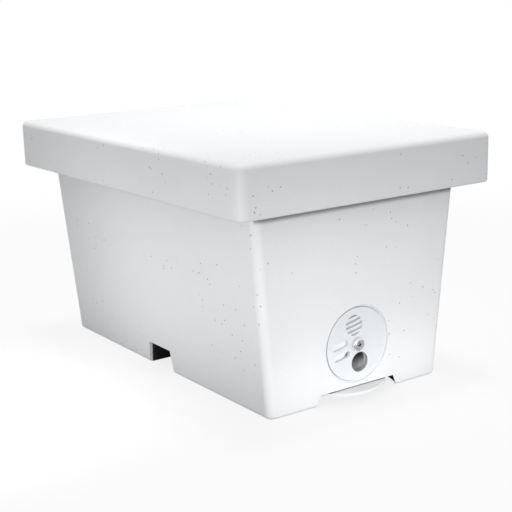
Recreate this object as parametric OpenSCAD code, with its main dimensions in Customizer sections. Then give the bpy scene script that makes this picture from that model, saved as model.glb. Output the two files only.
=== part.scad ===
// Mini mating nuc box: a foam body with sloping walls, a lift-off foam lid, a round four-position
// entrance disc on the front wall and a larger disc under the floor. Inside are four top bars, a
// feeder trough with an excluder grid, and a clear cover sheet. Millimetres, +Z up, front towards -Y.

/* [Body] */
// Length of the body at its foot
foot_l = 228; // [210:1:250]
// Width of the body at its foot
foot_w = 124.5; // [112:0.5:140]
// Height of the rim that the lid sits on
body_h = 132; // [120:1:150]
// Outward lean of the two long walls, in degrees
side_draft = 5; // [3:0.25:7]
// Outward lean of the two end walls, in degrees
end_draft = 1.5; // [0.5:0.25:3]
// Thickness of the two long walls
side_wall = 15; // [13:0.5:18]
// Thickness of the two end walls
end_wall = 15; // [13:0.5:15]
// Rounding of the upright outer corners
corner_r = 5; // [3:0.5:8]
// Rounding of the outer edge at the foot
foot_edge_r = 2.5; // [1:0.5:4]
// Rounding of the upright corners inside
inner_r = 6; // [3:0.5:9]

/* [Finger pockets] */
// Width of a pocket's mouth at the ground
grip_w = 30; // [26:0.5:36]
// How much narrower the pocket is at its ceiling, all told
grip_taper = 5.5; // [2:0.5:8]
// Height of a pocket
grip_h = 14.5; // [12:0.5:16]
// How far a pocket reaches in from the foot
grip_depth = 24; // [20:0.5:27]
// How far the pockets sit behind the middle of the body
grip_y = 1; // [0:0.5:8]
// How far the floor's flat part stops short of a pocket
haunch_set = 10; // [8:0.5:14]
// Rise of the slanted strip between floor and long wall
haunch_h = 14.5; // [13:0.5:18]

/* [Lid] */
// Thickness of the skirt along the long sides
lid_side_wall = 14.6; // [12:0.2:18]
// Thickness of the skirt across the ends
lid_end_wall = 11; // [8:0.5:14]
// How far the skirt reaches below the rim
lid_drop = 15; // [12:0.5:20]
// Thickness of the lid above the rim
lid_top_t = 14.2; // [12:0.1:18]
// Play between skirt and rim on each side
lid_play = 1.5; // [1:0.25:2.5]
// Rounding of the lid's upright corners
lid_corner_r = 6.5; // [5:0.5:9]
// Rounding of the lid's upper edge
lid_top_r = 3.5; // [2:0.5:5]
// Rounding of the lid's lower edge
lid_low_r = 1.2; // [0.6:0.2:2]

/* [Entrance disc] */
// Radius of the disc on the front wall
disc_r = 21.75; // [21:0.25:24]
// Thickness of the disc
disc_t = 2; // [1.6:0.1:2.6]
// Ring gap between the disc and its recess
disc_ring = 1.15; // [0.6:0.05:1.6]
// How far the disc's face lies behind the wall's face
disc_sink = 1.2; // [0.6:0.1:2]
// Foam left between the disc's recess and the recess in the floor
disc_lip = 1.9; // [1.4:0.1:3]
// Distance of the four stations from the pivot
station_r = 11.7; // [11:0.1:13]
// Radius of the open entrance hole
hole_r = 6; // [5:0.25:6.5]
// Radius of the foam tunnel behind the entrance
tunnel_r = 6.5; // [6:0.25:7]
// How far the disc is turned in use, in degrees
disc_turn = 11.5; // [0:0.5:20]
// Width of an excluder slot, which workers pass and a queen doesn't
excluder_slot = 4.2; // [4.1:0.05:4.4]
// Distance from one excluder slot to the next
excluder_pitch = 6.5; // [6.2:0.1:7]
// Length of an excluder slot in the disc
disc_slot_l = 11.5; // [9:0.5:12]
// Width of a vent slot
vent_slot = 1.7; // [1.2:0.1:2]
// Distance from one vent slot to the next
vent_pitch = 2.9; // [2.6:0.1:3.4]
// Number of vent slots in the entrance disc
vent_n = 5; // [3:2:5]
// Radius of the round field that the vent slots fill
vent_r = 6.1; // [5.5:0.1:7]

/* [Floor disc] */
// Radius of the disc under the floor
floor_disc_r = 30; // [28:0.5:32]
// Thickness of the floor disc
floor_disc_t = 1.8; // [1.4:0.1:2.2]
// Height of the round recess under the floor
floor_recess_h = 7; // [6.5:0.25:8]
// Ring gap between the floor disc and the recess at its ceiling
floor_ring = 4.4; // [2.5:0.1:5]
// How much wider the recess is at the ground, in radius
floor_recess_flare = 2.2; // [1:0.1:3]
// Pivot's distance behind the foot's front edge
floor_pivot_in = 21; // [20:0.5:24]
// Distance of the floor hole from the pivot
floor_station_r = 17; // [15:0.5:18]
// Radius of the hole in the floor
floor_hole_r = 10; // [8:0.5:10.5]
// Number of vent slots in the floor disc
floor_vent_n = 7; // [5:2:7]

/* [Pivot fastenings] */
// Radius of a post's barrel
post_r = 3; // [2.6:0.1:3.4]
// Radius of a post's flange
flange_r = 4.5; // [4:0.25:5.2]
// Thickness of a post's flange
flange_t = 1.6; // [1.2:0.1:2.4]
// Radius of a screw's shank
shank_r = 1.8; // [1.5:0.1:2.2]
// Length of a screw's shank
shank_l = 8; // [6:0.5:9]
// Radius of a screw's head
head_r = 3.9; // [3.4:0.1:5]
// Height of a screw's head
head_h = 2.4; // [1.8:0.1:3]
// Length of each arm of the cross in a screw's head
cross_l = 4.2; // [3.6:0.1:5]
// Width of each arm of the cross
cross_w = 0.9; // [0.7:0.1:1.2]
// Depth of the cross
cross_d = 1.4; // [1:0.1:1.6]

/* [Top bars] */
// Width of a bar
bar_w = 25; // [22:0.5:28]
// Thickness of a bar
bar_t = 8; // [6:0.5:10]
// Distance from one comb to the next
bar_pitch = 34; // [32:0.5:35]
// How far a bar rests on the wall at each end
ledge_w = 7.5; // [6:0.5:8]
// Play at each end of a bar
bar_end_play = 0.6; // [0.4:0.1:1]
// Play along each side of a bar
bar_side_play = 0.5; // [0.4:0.1:1]
// Width of the groove for the comb starter
groove_w = 3; // [2:0.25:4]
// Depth of the groove
groove_d = 3; // [2:0.25:4]
// How far the groove stops short of the bar's ends
groove_end = 16; // [14:0.5:20]

/* [Cover sheet] */
// Thickness of the sheet
cover_t = 0.5; // [0.4:0.1:0.8]
// Depth of the shallow step that the sheet lies in
cover_drop = 2; // [1.6:0.1:3]
// How far the sheet reaches over the end walls
cover_lap = 6; // [4:0.5:7]
// Play around the sheet
cover_play = 0.8; // [0.5:0.1:1.2]
// Rounding of the sheet's corners
cover_r = 5; // [3:0.5:8]

/* [Feeder] */
// Thickness of the trough's walls
feeder_t = 1.6; // [1.2:0.1:2.2]
// Gap between the trough and the foam around it
feeder_gap = 1; // [0.6:0.1:2]
// How far the trough hangs above the slanted strips
feeder_lift = 2; // [1:0.5:6]
// Thickness of the trough's rim
feeder_rim_t = 2.4; // [1.8:0.1:3]
// How far the rim reaches past the front wall
feeder_rim_lap = 2; // [1:0.25:2.5]
// Rounding of the trough's corners
feeder_r = 5; // [3:0.5:8]
// Width of the bees' window in the trough's front wall
window_w = 58; // [46:1:64]
// Height of the window
window_h = 17; // [12:0.5:20]
// Distance of the window below the rim
window_drop = 7; // [6:0.5:10]
// Thickness of the excluder grid
grid_t = 1.8; // [1.4:0.1:2.2]
// How far the grid reaches past the window on each side
grid_lap = 5; // [4:0.5:6]
// Number of slots in the grid
grid_n = 8; // [6:1:8]
// Thickness of the rails that hold the grid
rail_t = 1.6; // [1.2:0.1:2]
// How far a rail's lip reaches over the grid
rail_lip = 2.5; // [1.5:0.25:3]
// Play of the grid in its rails
grid_play = 0.3; // [0.2:0.05:0.5]

/* [Fits] */
// Gap between parts that move past each other
run_gap = 0.3; // [0.25:0.05:0.5]
// Running clearance of a disc's bore on its post, in radius
bore_play = 0.08; // [0.04:0.01:0.1]
// Clearance of a post in the foam, in radius
post_play = 0.15; // [0.1:0.05:0.3]

/* [Hidden] */

round_fn = 32;
bore_fn = 64;
disc_fn = 128;
cut = 1;
sliver = 0.1;

foam = [0.96, 0.96, 0.95];
disc_plastic = [0.90, 0.91, 0.92];
feeder_plastic = [0.93, 0.93, 0.90];
post_plastic = [0.85, 0.86, 0.87];
steel = [0.75, 0.76, 0.78];
lime_wood = [0.82, 0.66, 0.45];
clear_film = [0.85, 0.92, 0.95, 0.35];

// Half sizes of the leaning walls at a height z.
function out_x(z) = foot_w / 2 + z * tan(side_draft);
function out_y(z) = foot_l / 2 + z * tan(end_draft);
function in_x(z) = out_x(z) - side_wall;
function in_y(z) = out_y(z) - end_wall;

// Heights that follow from one another: the disc sits just above the floor recess, the entrance
// station lies below its pivot, and the floor meets the bottom of the tunnel.
pivot_v = floor_recess_h + disc_lip + disc_ring + disc_r;
tunnel_v = pivot_v - station_r;
floor_top = tunnel_v - tunnel_r - run_gap / 3;
haunch_top = floor_top + haunch_h;
floor_flat_x = foot_w / 2 - grip_depth - haunch_set;

cover_z = body_h - cover_drop;
bar_z = cover_z - bar_t;
ledge_x = in_x(bar_z) + ledge_w;
bar_l = 2 * (ledge_x - bar_end_play);
bar_first_y = bar_pitch / 2 - in_y(bar_z);

rail_reach = grid_t + grid_play + rail_t;
feeder_front_y = bar_first_y + 3.5 * bar_pitch + rail_reach + run_gap;
feeder_low_z = haunch_top + feeder_lift;
feeder_back_y = in_y(feeder_low_z) - feeder_gap;
feeder_top_z = cover_z - run_gap;
feeder_ledge_z = feeder_top_z - feeder_rim_t;
feeder_rim_back = in_y(feeder_ledge_z) - bar_side_play;
window_z = feeder_ledge_z - window_drop - window_h;
grid_w = window_w + 2 * grid_lap;
grid_h = window_h + grid_lap;
grid_z = window_z - grid_lap / 2;

recess_depth = run_gap + disc_t + disc_sink;
disc_back = recess_depth - run_gap;
post_web = end_wall * cos(end_draft) - recess_depth;
entrance_barrel = post_web + disc_t + 2 * run_gap;
floor_pivot_y = floor_pivot_in - foot_l / 2;
floor_web = floor_top - floor_recess_h;
floor_barrel = floor_web + floor_disc_t + 2 * run_gap;
floor_disc_z = floor_recess_h - run_gap - floor_disc_t;
floor_recess_r = floor_disc_r + floor_ring;

rim_x = out_x(body_h);
rim_y = out_y(body_h);
lid_x = rim_x + lid_play + lid_side_wall;
lid_y = rim_y + lid_play + lid_end_wall;
lid_low_z = body_h - lid_drop;
lid_seat_z = body_h + run_gap;
lid_top_z = lid_seat_z + lid_top_t;

// Places its children at the four corners of a rectangle.
module at_corners(half_x, half_y)
  for (sx = [-1, 1], sy = [-1, 1])
    translate([sx * half_x, sy * half_y, 0])
      children();

// The lower end of a corner post: a shallow cone with its full radius at the bottom.
module post_end(r)
  cylinder(r1 = r, r2 = r / 2, h = sliver, $fn = round_fn);

// The upper end of a corner post.
module post_top(r)
  mirror([0, 0, 1])
    post_end(r);

// The lower end of a corner post whose edge is rounded by e.
module post_foot(r, e)
  rotate_extrude($fn = round_fn)
    polygon([[0, 0],
      for (a = [0 : 360 / round_fn : 90]) [r - e + e * sin(a), e - e * cos(a)],
      [0, e]]);

// A flat slab with rounded upright corners.
module rounded_slab(half_x, half_y, r, h)
  linear_extrude(h) {
    square([2 * (half_x - r), 2 * half_y], center = true);
    square([2 * half_x, 2 * (half_y - r)], center = true);
    at_corners(half_x - r, half_y - r)
      circle(r = r, $fn = round_fn);
  }

// The outside of the body: narrow at the foot, wide at the rim.
module body_outside()
  hull() {
    at_corners(out_x(0) - corner_r, out_y(0) - corner_r)
      post_foot(corner_r, foot_edge_r);
    translate([0, 0, body_h])
      at_corners(rim_x - corner_r, rim_y - corner_r)
        post_top(corner_r);
  }

// The bees' chamber: a flat floor, a slanted strip along each side, and leaning walls.
module chamber()
  hull() {
    translate([0, 0, floor_top])
      at_corners(floor_flat_x - inner_r, in_y(floor_top) - inner_r)
        post_end(inner_r);
    translate([0, 0, haunch_top])
      at_corners(in_x(haunch_top) - inner_r, in_y(haunch_top) - inner_r)
        post_end(inner_r);
    translate([0, 0, body_h + cut])
      at_corners(in_x(body_h + cut) - inner_r, in_y(body_h + cut) - inner_r)
        post_top(inner_r);
  }

// Frame of the leaning front wall: X to the right, Y up the wall, Z out of the wall's face.
module on_front_wall(v)
  translate([0, -foot_l / 2, 0])
    rotate([end_draft, 0, 0])
      translate([0, 0, v])
        rotate([90, 0, 0])
          children();

// Frame at the floor disc's pivot.
module at_floor_pivot()
  translate([0, floor_pivot_y, 0])
    children();

// Centre of top bar number i, counted from the front.
function bar_y(i) = bar_first_y + (i - 1) * bar_pitch;

// One finger pocket, open at the ground, cut into the wall on the +X side.
module finger_pocket()
  translate([foot_w / 2 - grip_depth, grip_y, 0])
    rotate([90, 0, 90])
      linear_extrude(grip_depth + end_wall)
        polygon([[-grip_w / 2 - cut * grip_taper / 2 / grip_h, -cut],
          [grip_w / 2 + cut * grip_taper / 2 / grip_h, -cut],
          [(grip_w - grip_taper) / 2, grip_h],
          [-(grip_w - grip_taper) / 2, grip_h]]);

// Round recess for the floor disc. It breaks out through the front wall's foot.
module floor_recess()
  at_floor_pivot()
    rotate_extrude($fn = disc_fn)
      polygon([[0, -cut],
        [floor_recess_r + floor_recess_flare * (1 + cut / floor_recess_h), -cut],
        [floor_recess_r, floor_recess_h],
        [0, floor_recess_h]]);

// Steps in the rim for the cover sheet, the top bars and the feeder's rim.
module rim_steps() {
  translate([0, 0, cover_z])
    rounded_slab(ledge_x + cover_play, in_y(cover_z) + cover_lap + cover_play, cover_r + cover_play,
      cover_drop + cut);
  for (i = [1 : 4])
    translate([-ledge_x, bar_y(i) - bar_w / 2 - bar_side_play, bar_z])
      cube([2 * ledge_x, bar_w + 2 * bar_side_play, bar_t + cut]);
  translate([-ledge_x, feeder_front_y - feeder_rim_lap - bar_side_play, feeder_ledge_z])
    cube([2 * ledge_x, feeder_rim_back - feeder_front_y + feeder_rim_lap + 2 * bar_side_play,
      feeder_rim_t + run_gap + cut]);
}

module body_shell() color(foam)
  difference() {
    body_outside();
    chamber();
    rim_steps();
    floor_recess();
    finger_pocket();
    mirror([1, 0, 0])
      finger_pocket();
    on_front_wall(pivot_v)
      translate([0, 0, -recess_depth])
        cylinder(r = disc_r + disc_ring, h = recess_depth + cut, $fn = disc_fn);
    on_front_wall(pivot_v)
      translate([0, 0, -end_wall - cut])
        cylinder(r = post_r + post_play, h = end_wall + cut, $fn = bore_fn);
    on_front_wall(tunnel_v)
      translate([0, 0, -end_wall - cut])
        cylinder(r = tunnel_r, h = end_wall + cut, $fn = bore_fn);
    at_floor_pivot()
      cylinder(r = post_r + post_play, h = floor_top + cut, $fn = bore_fn);
    at_floor_pivot()
      translate([0, floor_station_r, 0])
        cylinder(r = floor_hole_r, h = floor_top + cut, $fn = bore_fn);
  }

// The lid's outside: straight sides, a softly rounded top edge and a lightly rounded lower edge.
module lid_outside()
  hull()
    at_corners(lid_x - lid_corner_r, lid_y - lid_corner_r) {
      translate([0, 0, lid_low_z])
        post_foot(lid_corner_r, lid_low_r);
      translate([0, 0, lid_top_z])
        mirror([0, 0, 1])
          post_foot(lid_corner_r, lid_top_r);
    }

module lid() color(foam)
  difference() {
    lid_outside();
    translate([0, 0, lid_low_z - cut])
      rounded_slab(rim_x + lid_play, rim_y + lid_play, corner_r + lid_play,
        lid_seat_z - lid_low_z + cut);
  }

// Outlines of n parallel slots with round ends, centred on the origin and lying along X.
module slot_rows(n, length, width, pitch)
  for (i = [0 : n - 1])
    translate([0, (i - (n - 1) / 2) * pitch]) {
      square([length - width, width], center = true);
      for (end = [-1, 1])
        translate([end * (length - width) / 2, 0])
          circle(r = width / 2, $fn = round_fn);
    }

// Vent slots that fill a round field.
module vent_field(n, r)
  intersection() {
    circle(r = r, $fn = bore_fn);
    slot_rows(n, 2 * (r + vent_slot), vent_slot, vent_pitch);
  }

// The entrance disc seen from the front: open hole below, excluder left, vent above, blank right.
module entrance_disc_plan()
  difference() {
    circle(r = disc_r, $fn = disc_fn);
    circle(r = post_r + bore_play, $fn = bore_fn);
    translate([0, -station_r])
      circle(r = hole_r, $fn = bore_fn);
    translate([-station_r, 0])
      slot_rows(2, disc_slot_l, excluder_slot, excluder_pitch);
    translate([0, station_r])
      vent_field(vent_n, vent_r);
  }

module entrance_disc() color(disc_plastic)
  on_front_wall(pivot_v)
    translate([0, 0, -disc_back])
      rotate([0, 0, disc_turn])
        linear_extrude(disc_t)
          entrance_disc_plan();

// The floor disc seen from above: vent towards the back, open hole to the right, the rest blank.
module floor_disc() color(disc_plastic)
  at_floor_pivot()
    translate([0, 0, floor_disc_z])
      linear_extrude(floor_disc_t)
        difference() {
          circle(r = floor_disc_r, $fn = disc_fn);
          circle(r = post_r + bore_play, $fn = bore_fn);
          translate([0, floor_station_r])
            vent_field(floor_vent_n, floor_hole_r);
          translate([floor_station_r, 0])
            circle(r = floor_hole_r, $fn = bore_fn);
        }

// A pan-head screw with a cross in its head. The head's seat is at z = 0 and the shank points down.
module pan_screw()
  difference() {
    union() {
      translate([0, 0, -shank_l])
        cylinder(r = shank_r, h = shank_l + head_h / 2, $fn = bore_fn);
      intersection() {
        cylinder(r = head_r, h = head_h, $fn = bore_fn);
        translate([0, 0, head_h - 2 * head_r])
          sphere(r = 2 * head_r, $fn = bore_fn);
      }
    }
    for (turn = [0, 90])
      rotate([0, 0, turn + disc_turn])
        translate([-cross_l / 2, -cross_w / 2, head_h - cross_d])
          cube([cross_l, cross_w, cross_d + cut]);
  }

// A flanged hollow post. The flange bears on the foam at z = 0 and the barrel points up.
module pivot_post(barrel_l)
  difference() {
    union() {
      translate([0, 0, -flange_t])
        cylinder(r = flange_r, h = flange_t, $fn = bore_fn);
      cylinder(r = post_r, h = barrel_l, $fn = bore_fn);
    }
    translate([0, 0, -flange_t - cut])
      cylinder(r = shank_r, h = barrel_l + flange_t + 2 * cut, $fn = bore_fn);
  }

module entrance_screw() color(steel)
  on_front_wall(pivot_v)
    translate([0, 0, run_gap - disc_sink])
      pan_screw();

module entrance_post() color(post_plastic)
  on_front_wall(pivot_v)
    translate([0, 0, -recess_depth - post_web])
      pivot_post(entrance_barrel);

module floor_screw() color(steel)
  at_floor_pivot()
    translate([0, 0, floor_disc_z - run_gap])
      mirror([0, 0, 1])
        pan_screw();

module floor_post() color(post_plastic)
  at_floor_pivot()
    translate([0, 0, floor_top])
      mirror([0, 0, 1])
        pivot_post(floor_barrel);

// A wooden bar with a saw groove along its underside for the comb starter.
module top_bar(i) color(lime_wood)
  translate([-bar_l / 2, bar_y(i) - bar_w / 2, bar_z])
    difference() {
      cube([bar_l, bar_w, bar_t]);
      translate([groove_end, (bar_w - groove_w) / 2, -cut])
        cube([bar_l - 2 * groove_end, groove_w, groove_d + cut]);
    }

module top_bar_1() top_bar(1);
module top_bar_2() top_bar(2);
module top_bar_3() top_bar(3);
module top_bar_4() top_bar(4);

// Places its children at the four corners of the trough at a height z, drawn in by inset.
module at_tub_corners(z, inset)
  translate([0, (feeder_front_y + feeder_back_y) / 2, z])
    at_corners(in_x(z) - feeder_gap - inset - feeder_r,
      (feeder_back_y - feeder_front_y) / 2 - inset - feeder_r)
      children();

// A tapered tub between two heights, drawn in by inset on every side.
module tub(low_z, high_z, inset)
  hull() {
    at_tub_corners(low_z, inset)
      post_end(feeder_r);
    at_tub_corners(high_z, inset)
      post_top(feeder_r);
  }

// One rail for the excluder grid, on the +X side of the window.
module grid_rail()
  translate([grid_w / 2 + grid_play, feeder_front_y - rail_reach, grid_z - rail_t]) {
    cube([rail_t, rail_reach + feeder_t / 2, grid_h + rail_t]);
    translate([-rail_lip, 0, 0])
      cube([rail_lip + rail_t, rail_t, grid_h + rail_t]);
  }

module feeder_trough() color(feeder_plastic)
  difference() {
    union() {
      tub(feeder_low_z, feeder_top_z, 0);
      translate([-ledge_x + bar_end_play, feeder_front_y - feeder_rim_lap, feeder_ledge_z])
        cube([2 * (ledge_x - bar_end_play), feeder_rim_back - feeder_front_y + feeder_rim_lap,
          feeder_rim_t]);
      grid_rail();
      mirror([1, 0, 0])
        grid_rail();
      translate([-grid_w / 2 - grid_play, feeder_front_y - rail_reach, grid_z - rail_t])
        cube([grid_w + 2 * grid_play, rail_reach + feeder_t / 2, rail_t]);
    }
    tub(feeder_low_z + feeder_t, feeder_top_z + cut, feeder_t);
    translate([-window_w / 2, feeder_front_y - cut, window_z])
      cube([window_w, feeder_t + 2 * cut, window_h]);
  }

module feeder_excluder() color(disc_plastic)
  translate([0, feeder_front_y, grid_z])
    rotate([90, 0, 0])
      linear_extrude(grid_t)
        difference() {
          translate([-grid_w / 2, 0])
            square([grid_w, grid_h]);
          translate([0, grid_h / 2])
            rotate(90)
              slot_rows(grid_n, window_h - 2, excluder_slot, excluder_pitch);
        }

module cover_sheet() color(clear_film)
  translate([0, 0, cover_z])
    rounded_slab(ledge_x, in_y(cover_z) + cover_lap, cover_r, cover_t);

body_shell();
lid();
entrance_disc();
entrance_screw();
entrance_post();
floor_disc();
floor_screw();
floor_post();
top_bar_1();
top_bar_2();
top_bar_3();
top_bar_4();
feeder_trough();
feeder_excluder();
cover_sheet();
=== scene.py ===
# %% [markdown]
# # A mini mating nuc box
#
# The box is a small beehive for one queen and a few hundred bees. Its body and lid are moulded from white
# bead foam, two plastic discs turn on its outside, and wooden bars, a feed tub and a clear film lie inside.
# The CAD model gives every place and size, so the first step is to load it.

# %% Load the CAD frame
import math

import bmesh
import bpy
from mathutils import Matrix, Vector


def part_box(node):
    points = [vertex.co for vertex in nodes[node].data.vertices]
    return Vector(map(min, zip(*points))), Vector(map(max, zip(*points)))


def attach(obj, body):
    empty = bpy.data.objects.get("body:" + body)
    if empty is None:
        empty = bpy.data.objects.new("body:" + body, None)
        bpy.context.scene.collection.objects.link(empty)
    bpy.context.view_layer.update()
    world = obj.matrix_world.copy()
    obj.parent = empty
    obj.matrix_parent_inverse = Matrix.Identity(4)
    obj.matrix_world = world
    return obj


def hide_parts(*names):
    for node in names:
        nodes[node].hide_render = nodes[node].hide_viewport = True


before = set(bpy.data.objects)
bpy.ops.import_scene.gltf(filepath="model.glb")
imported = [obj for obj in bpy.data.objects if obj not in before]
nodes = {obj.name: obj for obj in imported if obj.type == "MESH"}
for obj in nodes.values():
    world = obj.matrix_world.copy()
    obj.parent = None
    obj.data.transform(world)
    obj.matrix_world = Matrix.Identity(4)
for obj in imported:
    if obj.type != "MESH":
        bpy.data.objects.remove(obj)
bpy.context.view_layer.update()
MM = 0.001

# %% [markdown]
# ## Camera
#
# The camera stands to the left of the entrance and a little above the lid. Its place, its turn and
# its slight roll were found by laying the box's straight edges over the photograph. A matrix built
# from the three camera axes sets all of this at once, which is easier to read than Euler angles.

# %% Place the camera
AZIMUTH = math.radians(-35.10)
ELEVATION = math.radians(13.674)
ROLL = math.radians(-1.396)
CAMERA_PLACE = Vector((-0.39745, -0.58124, 0.23338))
LENS = 79.08

back = Vector((math.sin(AZIMUTH) * math.cos(ELEVATION),
               -math.cos(AZIMUTH) * math.cos(ELEVATION),
               math.sin(ELEVATION)))
level_right = (-back).cross(Vector((0, 0, 1))).normalized()
level_up = level_right.cross(-back)
right = math.cos(ROLL) * level_right + math.sin(ROLL) * level_up
up = math.cos(ROLL) * level_up - math.sin(ROLL) * level_right

bpy.ops.object.select_all(action="DESELECT")
bpy.ops.object.camera_add()
camera = bpy.context.object
camera.name = "photo_camera"
camera.data.lens = LENS
camera.matrix_world = Matrix.Translation(CAMERA_PLACE) @ Matrix((right, up, back)).transposed().to_4x4()
bpy.context.scene.camera = camera
print("camera at", tuple(round(x, 3) for x in CAMERA_PLACE))

# %% [markdown]
# ## Floor and light
#
# White foam shows its form only by soft shade, so the light is low and comes from a few sides. An even
# sky fills the shadows and a lamp above whitens the lid. A lamp and a strip near the table light the
# entrance wall, its foot most; another lights the long wall, helped by one that brightens the table
# beside it. The last stands where the rounded near corner mirrors it to the camera, which gives the
# bright line along that edge. The lamps wear grids, which is what a narrow spread does, so each reaches
# little beyond its place.
#
# For the eye the floor is white with the box's shadow on it, and it fades to plain white farther out,
# so no horizon shows. For the light that it throws back up, it is grey.

# %% Make the floor
FLOOR_SIZE = 8.0
FLOOR_BOUNCE = 0.5
FLOOR_WHITE = 0.9
SHADOW_SHARE = 0.18
FADE_START = 0.15
FADE_END = 0.7

bpy.ops.mesh.primitive_plane_add(size=FLOOR_SIZE)
floor = bpy.context.object
floor.name = "studio_floor"

floor_look = bpy.data.materials.new("pale_floor")
floor_look.use_nodes = True
floor_nodes = floor_look.node_tree.nodes
floor_links = floor_look.node_tree.links
floor_paint = floor_nodes["Principled BSDF"]
floor_paint.inputs["Roughness"].default_value = 0.9
floor_paint.inputs["Specular IOR Level"].default_value = 0.1
floor_ray = floor_nodes.new("ShaderNodeLightPath")
floor_tone = floor_nodes.new("ShaderNodeMix")
floor_tone.data_type = "RGBA"
floor_tone.inputs[6].default_value = (FLOOR_BOUNCE, FLOOR_BOUNCE, FLOOR_BOUNCE, 1)
floor_tone.inputs[7].default_value = (FLOOR_WHITE, FLOOR_WHITE, FLOOR_WHITE, 1)
floor_links.new(floor_ray.outputs["Is Camera Ray"], floor_tone.inputs["Factor"])
floor_links.new(floor_tone.outputs[2], floor_paint.inputs["Base Color"])

floor_place = floor_nodes.new("ShaderNodeTexCoord")
floor_away = floor_nodes.new("ShaderNodeVectorMath")
floor_away.operation = "LENGTH"
floor_fade = floor_nodes.new("ShaderNodeMapRange")
floor_fade.interpolation_type = "SMOOTHSTEP"
floor_fade.inputs["From Min"].default_value = FADE_START
floor_fade.inputs["From Max"].default_value = FADE_END
floor_fade.inputs["To Min"].default_value = 1 - SHADOW_SHARE
floor_fade.inputs["To Max"].default_value = 1.0
floor_share = floor_nodes.new("ShaderNodeMath")
floor_share.operation = "MULTIPLY"
floor_glow = floor_nodes.new("ShaderNodeEmission")
floor_mix = floor_nodes.new("ShaderNodeMixShader")
floor_links.new(floor_place.outputs["Object"], floor_away.inputs[0])
floor_links.new(floor_away.outputs["Value"], floor_fade.inputs["Value"])
floor_links.new(floor_fade.outputs["Result"], floor_share.inputs[0])
floor_links.new(floor_ray.outputs["Is Camera Ray"], floor_share.inputs[1])
floor_links.new(floor_share.outputs[0], floor_mix.inputs["Fac"])
floor_links.new(floor_paint.outputs["BSDF"], floor_mix.inputs[1])
floor_links.new(floor_glow.outputs["Emission"], floor_mix.inputs[2])
floor_links.new(floor_mix.outputs["Shader"], floor_nodes["Material Output"].inputs["Surface"])
floor.data.materials.append(floor_look)
print("floor", FLOOR_SIZE, "m wide")

# %% Make the sky
SKY_LIGHT = 0.645

world = bpy.data.worlds.new("studio_sky")
bpy.context.scene.world = world
world.use_nodes = True
sky_nodes = world.node_tree.nodes
sky_links = world.node_tree.links
sky_fill = sky_nodes["Background"]
sky_fill.inputs["Color"].default_value = (1, 1, 1, 1)
sky_fill.inputs["Strength"].default_value = SKY_LIGHT
sky_white = sky_nodes.new("ShaderNodeBackground")
sky_white.inputs["Color"].default_value = (1, 1, 1, 1)
sky_ray = sky_nodes.new("ShaderNodeLightPath")
sky_seen = sky_nodes.new("ShaderNodeMath")
sky_seen.operation = "MAXIMUM"
sky_mix = sky_nodes.new("ShaderNodeMixShader")
sky_links.new(sky_ray.outputs["Is Camera Ray"], sky_seen.inputs[0])
sky_links.new(sky_ray.outputs["Is Glossy Ray"], sky_seen.inputs[1])
sky_links.new(sky_seen.outputs[0], sky_mix.inputs["Fac"])
sky_links.new(sky_fill.outputs["Background"], sky_mix.inputs[1])
sky_links.new(sky_white.outputs["Background"], sky_mix.inputs[2])
sky_links.new(sky_mix.outputs["Shader"], sky_nodes["World Output"].inputs["Surface"])
bpy.context.scene.view_settings.view_transform = "Standard"
print("sky strength", SKY_LIGHT)

# %% Hang the lamps
def grid_lamp(name, place, target, width, height, spread, watts):
    """A flat lamp behind a grid: it faces a target and lights only a narrow cone."""
    bpy.ops.object.light_add(type="AREA", location=place)
    lamp = bpy.context.object
    lamp.name = name
    lamp.data.shape = "RECTANGLE"
    lamp.data.size = width
    lamp.data.size_y = height
    lamp.data.spread = math.radians(spread)
    lamp.data.energy = watts
    lamp.rotation_euler = (Vector(target) - Vector(place)).to_track_quat("-Z", "Y").to_euler()
    return lamp


grid_lamp("top_lamp", (0.06, 0.05, 1.5), (0.06, 0.02, 0), 0.3, 0.3, 30, 0.288)
grid_lamp("table_lamp", (-0.22, 0, 0.8), (-0.2, 0, 0), 0.12, 0.12, 16, 0.091)
grid_lamp("entrance_lamp", (-0.1, -0.8, 0.1), (0, -0.13, 0), 0.2, 0.2, 14, 0.0388)
grid_lamp("foot_strip", (0, -0.65, 0.02), (0, -0.115, 0.012), 0.14, 0.03, 8, 0.0041)
grid_lamp("side_lamp", (-0.8, 0.06, 0.1), (-0.066, 0.02, 0.062), 0.12, 0.12, 13, 0.0096)
grid_lamp("corner_lamp", (-0.79, -0.62, 0.05), (-0.07, -0.118, 0.078), 0.12, 0.12, 12, 0.0185)
print("six lamps")

# %% [markdown]
# ## Modelling tools
#
# Every piece starts as a primitive and is shaped with the same few moves: pick edges or faces by
# their place, bevel them, carve with a second solid, and round what is left sharp. Each move is a
# short function around Blender's own operators. Everything is deselected before a piece is added,
# because an operator works on all that is selected.

# %% Pick, bevel and carve
def show_only(piece):
    """Make a piece the only selected one."""
    if bpy.context.object and bpy.context.object.mode != "OBJECT":
        bpy.ops.object.mode_set(mode="OBJECT")
    bpy.ops.object.select_all(action="DESELECT")
    piece.select_set(True)
    bpy.context.view_layer.objects.active = piece


def pick(piece, kind, wanted):
    """Enter edit mode with only the wanted vertices, edges or faces selected."""
    show_only(piece)
    bpy.ops.object.mode_set(mode="EDIT")
    bpy.ops.mesh.select_mode(type=kind)
    bpy.ops.mesh.select_all(action="DESELECT")
    mesh = bmesh.from_edit_mesh(piece.data)
    items = {"VERT": mesh.verts, "EDGE": mesh.edges, "FACE": mesh.faces}[kind]
    for item in items:
        if wanted(item):
            item.select_set(True)
    bmesh.update_edit_mesh(piece.data)


def leave_edit():
    bpy.ops.object.mode_set(mode="OBJECT")


def bevel_picked(piece, wanted, width, segments):
    """Round the wanted edges."""
    pick(piece, "EDGE", wanted)
    bpy.ops.mesh.bevel(offset=width, segments=segments, affect="EDGES", clamp_overlap=True)
    leave_edit()


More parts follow.
